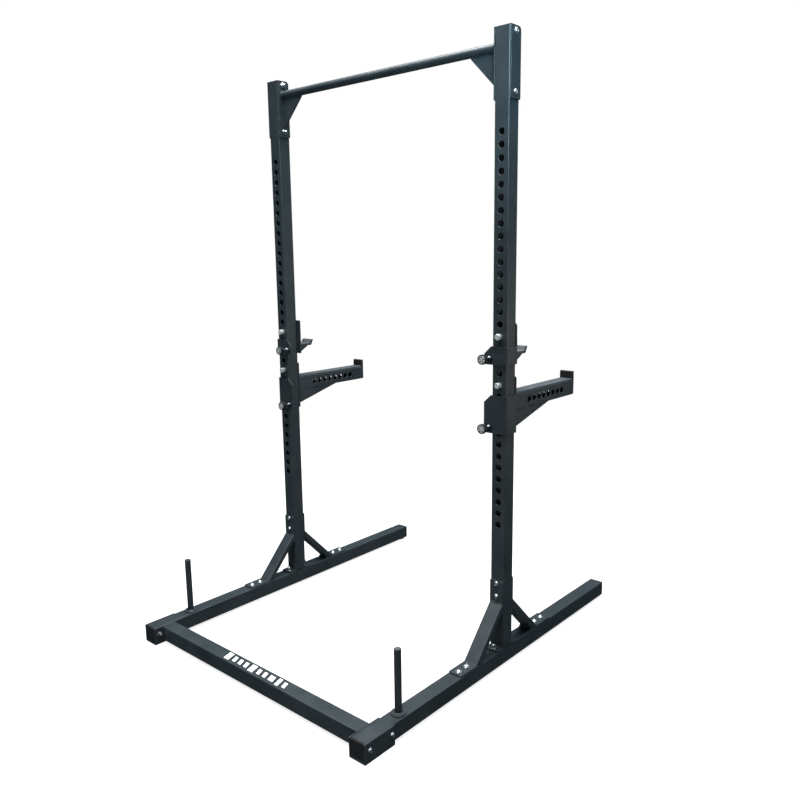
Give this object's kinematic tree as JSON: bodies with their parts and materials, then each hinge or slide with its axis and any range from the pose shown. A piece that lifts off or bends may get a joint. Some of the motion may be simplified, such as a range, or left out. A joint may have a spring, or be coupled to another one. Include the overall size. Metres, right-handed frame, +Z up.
{
  "type": "power cage squat rack",
  "caption": "Half rack for barbell training: two drilled uprights on long floor runners, a front cross tube, a pull-up bar, swing-on bar hooks and safety arms.",
  "frame": {"origin": "centre of the footprint, on the floor under the feet", "axes": "+Z up; +Y from the front cross tube towards the back, where the bar hooks point; +X to the right seen from the front, along the pull-up bar"},
  "size_m": [1.2732, 1.59, 2.3116],
  "materials": {
    "charcoal_paint": "semi-gloss powder coat over steel",
    "chrome": "bright chrome plating",
    "bright_zinc": "bright zinc plating",
    "black_plastic": "fine moulded texture",
    "grey_liner": "smooth dense plastic",
    "black_rubber": "dull rubber"
  },
  "bodies": {
    "rack": {"band_peg_left": "charcoal_paint", "band_peg_right": "charcoal_paint", "base_bolt_left_1": "bright_zinc", "base_bolt_left_2": "bright_zinc", "base_bolt_right_1": "bright_zinc", "base_bolt_right_2": "bright_zinc", "brace_bolt_left_1": "bright_zinc", "brace_bolt_left_2": "bright_zinc", "brace_bolt_right_1": "bright_zinc", "brace_bolt_right_2": "bright_zinc", "crossmember": "charcoal_paint", "front_brace_left": "charcoal_paint", "front_brace_right": "charcoal_paint", "pull_up_bar": "charcoal_paint", "rear_brace_left": "charcoal_paint", "rear_brace_right": "charcoal_paint", "rear_foot_left": "black_rubber", "rear_foot_right": "black_rubber", "runner_front_cap_left": "black_plastic", "runner_front_cap_right": "black_plastic", "runner_left": "charcoal_paint", "runner_rear_cap_left": "black_plastic", "runner_rear_cap_right": "black_plastic", "runner_right": "charcoal_paint", "top_bolt_left_1": "bright_zinc", "top_bolt_left_2": "bright_zinc", "top_bolt_right_1": "bright_zinc", "top_bolt_right_2": "bright_zinc", "top_bracket_left": "charcoal_paint", "top_bracket_right": "charcoal_paint", "upright_left": "charcoal_paint", "upright_right": "charcoal_paint"},
    "jhook_left": {"jhook_left_back_liner": "black_plastic", "jhook_left_frame": "charcoal_paint", "jhook_left_pin_housing": "bright_zinc", "jhook_left_saddle_liner": "grey_liner", "jhook_left_stud": "chrome"},
    "jhook_left_pull_pin": {"jhook_left_pin": "chrome", "jhook_left_knob": "black_plastic"},
    "jhook_right": {"jhook_right_back_liner": "black_plastic", "jhook_right_frame": "charcoal_paint", "jhook_right_pin_housing": "bright_zinc", "jhook_right_saddle_liner": "grey_liner", "jhook_right_stud": "chrome"},
    "jhook_right_pull_pin": {"jhook_right_pin": "chrome", "jhook_right_knob": "black_plastic"},
    "safety_arm_left": {"safety_arm_left_frame": "charcoal_paint", "safety_arm_left_liner": "grey_liner", "safety_arm_left_pin_housing": "bright_zinc", "safety_arm_left_stop_pad": "black_rubber", "safety_arm_left_stud": "chrome"},
    "safety_arm_left_pull_pin": {"safety_arm_left_pin": "chrome", "safety_arm_left_knob": "black_plastic"},
    "safety_arm_right": {"safety_arm_right_frame": "charcoal_paint", "safety_arm_right_liner": "grey_liner", "safety_arm_right_pin_housing": "bright_zinc", "safety_arm_right_stop_pad": "black_rubber", "safety_arm_right_stud": "chrome"},
    "safety_arm_right_pull_pin": {"safety_arm_right_pin": "chrome", "safety_arm_right_knob": "black_plastic"}
  },
  "joints": [
    {"name": "jhook_right_swing", "type": "hinge", "parent": "rack", "child": "jhook_right", "pos_m": [0.595, -0.024, 1.2693], "axis": [0, -1, 0], "range_deg": [0, 90]},
    {"name": "jhook_right_pull", "type": "slide", "parent": "jhook_right", "child": "jhook_right_pull_pin", "axis": [0, -1, 0], "range_m": [-0.016, 0.004]},
    {"name": "jhook_left_swing", "type": "hinge", "parent": "rack", "child": "jhook_left", "pos_m": [-0.595, -0.024, 1.2253], "axis": [0, 1, 0], "range_deg": [0, 90]},
    {"name": "jhook_left_pull", "type": "slide", "parent": "jhook_left", "child": "jhook_left_pull_pin", "axis": [0, -1, 0], "range_m": [-0.016, 0.004]},
    {"name": "safety_arm_right_swing", "type": "hinge", "parent": "rack", "child": "safety_arm_right", "pos_m": [0.595, -0.024, 1.0933], "axis": [0, -1, 0], "range_deg": [0, 90]},
    {"name": "safety_arm_right_pull", "type": "slide", "parent": "safety_arm_right", "child": "safety_arm_right_pull_pin", "axis": [0, -1, 0], "range_m": [-0.016, 0.004]},
    {"name": "safety_arm_left_swing", "type": "hinge", "parent": "rack", "child": "safety_arm_left", "pos_m": [-0.595, -0.024, 1.0493], "axis": [0, 1, 0], "range_deg": [0, 90]},
    {"name": "safety_arm_left_pull", "type": "slide", "parent": "safety_arm_left", "child": "safety_arm_left_pull_pin", "axis": [0, -1, 0], "range_m": [-0.016, 0.004]}
  ]
}
